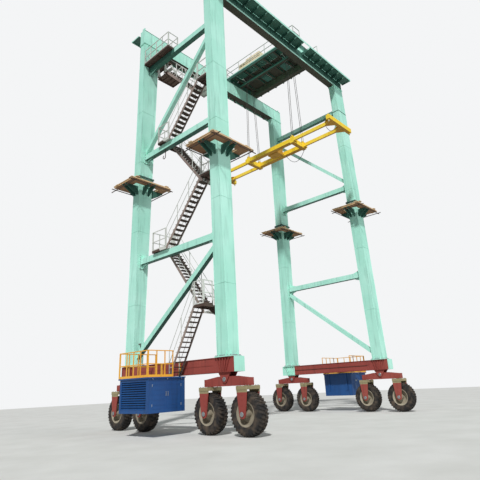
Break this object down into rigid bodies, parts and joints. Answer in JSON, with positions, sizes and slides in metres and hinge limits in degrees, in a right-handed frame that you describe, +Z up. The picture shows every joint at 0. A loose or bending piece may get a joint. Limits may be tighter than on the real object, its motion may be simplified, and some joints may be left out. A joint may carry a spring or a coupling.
{
  "type": "rubber tyred gantry crane",
  "caption": "Portal crane on steerable rubber tyres, with a travelling trolley, a telescopic container spreader on ropes, stairs up one side and power units on the sills.",
  "frame": {"origin": "on the ground in the middle of the crane, below the girders", "axes": "+X across the span towards the side without stairs, +Y along the travel direction, +Z up"},
  "size_m": [16.7, 9.914, 23.9303],
  "materials": {
    "mint_paint": "faded paint",
    "red_oxide": "primer",
    "yellow_paint": "gloss paint",
    "khaki_paint": "matt paint",
    "blue_paint": "paint",
    "grey_paint": "galvanised",
    "cream_paint": "paint",
    "stair_steel": "weathered",
    "timber": "rough sawn",
    "wire_rope": "greased",
    "tyre": "dusty rubber"
  },
  "bodies": {
    "portal": {"sills": "red_oxide", "legs_lower": "mint_paint", "legs_upper": "mint_paint", "bracing": "mint_paint", "girders": "mint_paint", "walkways": "mint_paint", "scaffolds": "timber", "stair_1": "stair_steel", "stair_2": "stair_steel", "stair_3": "stair_steel", "stair_4": "stair_steel", "stair_5": "stair_steel", "stair_6": "stair_steel", "top_platform": "stair_steel", "power_unit_left": "blue_paint", "power_unit_right": "blue_paint"},
    "equaliser_front_left": {"equaliser_front_left": "red_oxide"},
    "equaliser_front_right": {"equaliser_front_right": "red_oxide"},
    "equaliser_rear_left": {"equaliser_rear_left": "red_oxide"},
    "equaliser_rear_right": {"equaliser_rear_right": "red_oxide"},
    "fork_front_left_outer": {"fork_front_left_outer": "khaki_paint"},
    "wheel_front_left_outer": {"wheel_front_left_outer": "tyre"},
    "fork_front_left_inner": {"fork_front_left_inner": "khaki_paint"},
    "wheel_front_left_inner": {"wheel_front_left_inner": "tyre"},
    "fork_front_right_outer": {"fork_front_right_outer": "khaki_paint"},
    "wheel_front_right_outer": {"wheel_front_right_outer": "tyre"},
    "fork_front_right_inner": {"fork_front_right_inner": "khaki_paint"},
    "wheel_front_right_inner": {"wheel_front_right_inner": "tyre"},
    "fork_rear_left_outer": {"fork_rear_left_outer": "khaki_paint"},
    "wheel_rear_left_outer": {"wheel_rear_left_outer": "tyre"},
    "fork_rear_left_inner": {"fork_rear_left_inner": "khaki_paint"},
    "wheel_rear_left_inner": {"wheel_rear_left_inner": "tyre"},
    "fork_rear_right_outer": {"fork_rear_right_outer": "khaki_paint"},
    "wheel_rear_right_outer": {"wheel_rear_right_outer": "tyre"},
    "fork_rear_right_inner": {"fork_rear_right_inner": "khaki_paint"},
    "wheel_rear_right_inner": {"wheel_rear_right_inner": "tyre"},
    "trolley": {"trolley_frame": "mint_paint", "trolley_deck": "grey_paint", "trolley_machinery": "grey_paint", "trolley_cabinets": "cream_paint", "hoist_ropes": "wire_rope"},
    "spreader": {"spreader_frame": "yellow_paint"},
    "spreader_end_front": {"spreader_end_front": "yellow_paint"},
    "spreader_end_rear": {"spreader_end_rear": "yellow_paint"}
  },
  "joints": [
    {"name": "equaliser_front_left_rock", "type": "hinge", "parent": "portal", "child": "equaliser_front_left", "pos_m": [-6.185, -3.12, 1.95], "axis": [1, 0, 0], "range_deg": [-4, 4]},
    {"name": "equaliser_front_right_rock", "type": "hinge", "parent": "portal", "child": "equaliser_front_right", "pos_m": [6.185, -3.12, 1.95], "axis": [1, 0, 0], "range_deg": [-4, 4]},
    {"name": "equaliser_rear_left_rock", "type": "hinge", "parent": "portal", "child": "equaliser_rear_left", "pos_m": [-6.185, 3.12, 1.95], "axis": [1, 0, 0], "range_deg": [-4, 4]},
    {"name": "equaliser_rear_right_rock", "type": "hinge", "parent": "portal", "child": "equaliser_rear_right", "pos_m": [6.185, 3.12, 1.95], "axis": [1, 0, 0], "range_deg": [-4, 4]},
    {"name": "fork_front_left_outer_steer", "type": "hinge", "parent": "equaliser_front_left", "child": "fork_front_left_outer", "pos_m": [-6.185, -4.12, 1.7], "axis": [0, 0, 1], "range_deg": [0, 90]},
    {"name": "wheel_front_left_outer_spin", "type": "hinge", "parent": "fork_front_left_outer", "child": "wheel_front_left_outer", "pos_m": [-6.185, -4.12, 0.75], "axis": [1, 0, 0], "continuous": true},
    {"name": "fork_front_left_inner_steer", "type": "hinge", "parent": "equaliser_front_left", "child": "fork_front_left_inner", "pos_m": [-6.185, -2.12, 1.7], "axis": [0, 0, 1], "range_deg": [0, 90]},
    {"name": "wheel_front_left_inner_spin", "type": "hinge", "parent": "fork_front_left_inner", "child": "wheel_front_left_inner", "pos_m": [-6.185, -2.12, 0.75], "axis": [1, 0, 0], "continuous": true},
    {"name": "fork_front_right_outer_steer", "type": "hinge", "parent": "equaliser_front_right", "child": "fork_front_right_outer", "pos_m": [6.185, -4.12, 1.7], "axis": [0, 0, 1], "range_deg": [0, 90]},
    {"name": "wheel_front_right_outer_spin", "type": "hinge", "parent": "fork_front_right_outer", "child": "wheel_front_right_outer", "pos_m": [6.185, -4.12, 0.75], "axis": [1, 0, 0], "continuous": true},
    {"name": "fork_front_right_inner_steer", "type": "hinge", "parent": "equaliser_front_right", "child": "fork_front_right_inner", "pos_m": [6.185, -2.12, 1.7], "axis": [0, 0, 1], "range_deg": [0, 90]},
    {"name": "wheel_front_right_inner_spin", "type": "hinge", "parent": "fork_front_right_inner", "child": "wheel_front_right_inner", "pos_m": [6.185, -2.12, 0.75], "axis": [1, 0, 0], "continuous": true},
    {"name": "fork_rear_left_outer_steer", "type": "hinge", "parent": "equaliser_rear_left", "child": "fork_rear_left_outer", "pos_m": [-6.185, 4.12, 1.7], "axis": [0, 0, 1], "range_deg": [0, 90]},
    {"name": "wheel_rear_left_outer_spin", "type": "hinge", "parent": "fork_rear_left_outer", "child": "wheel_rear_left_outer", "pos_m": [-6.185, 4.12, 0.75], "axis": [1, 0, 0], "continuous": true},
    {"name": "fork_rear_left_inner_steer", "type": "hinge", "parent": "equaliser_rear_left", "child": "fork_rear_left_inner", "pos_m": [-6.185, 2.12, 1.7], "axis": [0, 0, 1], "range_deg": [0, 90]},
    {"name": "wheel_rear_left_inner_spin", "type": "hinge", "parent": "fork_rear_left_inner", "child": "wheel_rear_left_inner", "pos_m": [-6.185, 2.12, 0.75], "axis": [1, 0, 0], "continuous": true},
    {"name": "fork_rear_right_outer_steer", "type": "hinge", "parent": "equaliser_rear_right", "child": "fork_rear_right_outer", "pos_m": [6.185, 4.12, 1.7], "axis": [0, 0, 1], "range_deg": [0, 90]},
    {"name": "wheel_rear_right_outer_spin", "type": "hinge", "parent": "fork_rear_right_outer", "child": "wheel_rear_right_outer", "pos_m": [6.185, 4.12, 0.75], "axis": [1, 0, 0], "continuous": true},
    {"name": "fork_rear_right_inner_steer", "type": "hinge", "parent": "equaliser_rear_right", "child": "fork_rear_right_inner", "pos_m": [6.185, 2.12, 1.7], "axis": [0, 0, 1], "range_deg": [0, 90]},
    {"name": "wheel_rear_right_inner_spin", "type": "hinge", "parent": "fork_rear_right_inner", "child": "wheel_rear_right_inner", "pos_m": [6.185, 2.12, 0.75], "axis": [1, 0, 0], "continuous": true},
    {"name": "trolley_travel", "type": "slide", "parent": "portal", "child": "trolley", "axis": [1, 0, 0], "range_m": [-5.1, 1.98]},
    {"name": "hoist", "type": "slide", "parent": "trolley", "child": "spreader", "axis": [0, 0, 1], "range_m": [-14.9, 4], "deforming": ["hoist_ropes"]},
    {"name": "spreader_end_front_slide", "type": "slide", "parent": "spreader", "child": "spreader_end_front", "axis": [0, -1, 0], "range_m": [-1.92, 1.145]},
    {"name": "spreader_end_rear_slide", "type": "slide", "parent": "spreader", "child": "spreader_end_rear", "axis": [0, 1, 0], "range_m": [-1.92, 1.145]}
  ],
  "couplings": [
    {"joint": "spreader_end_rear_slide", "follows": "spreader_end_front_slide", "ratio": 1}
  ]
}
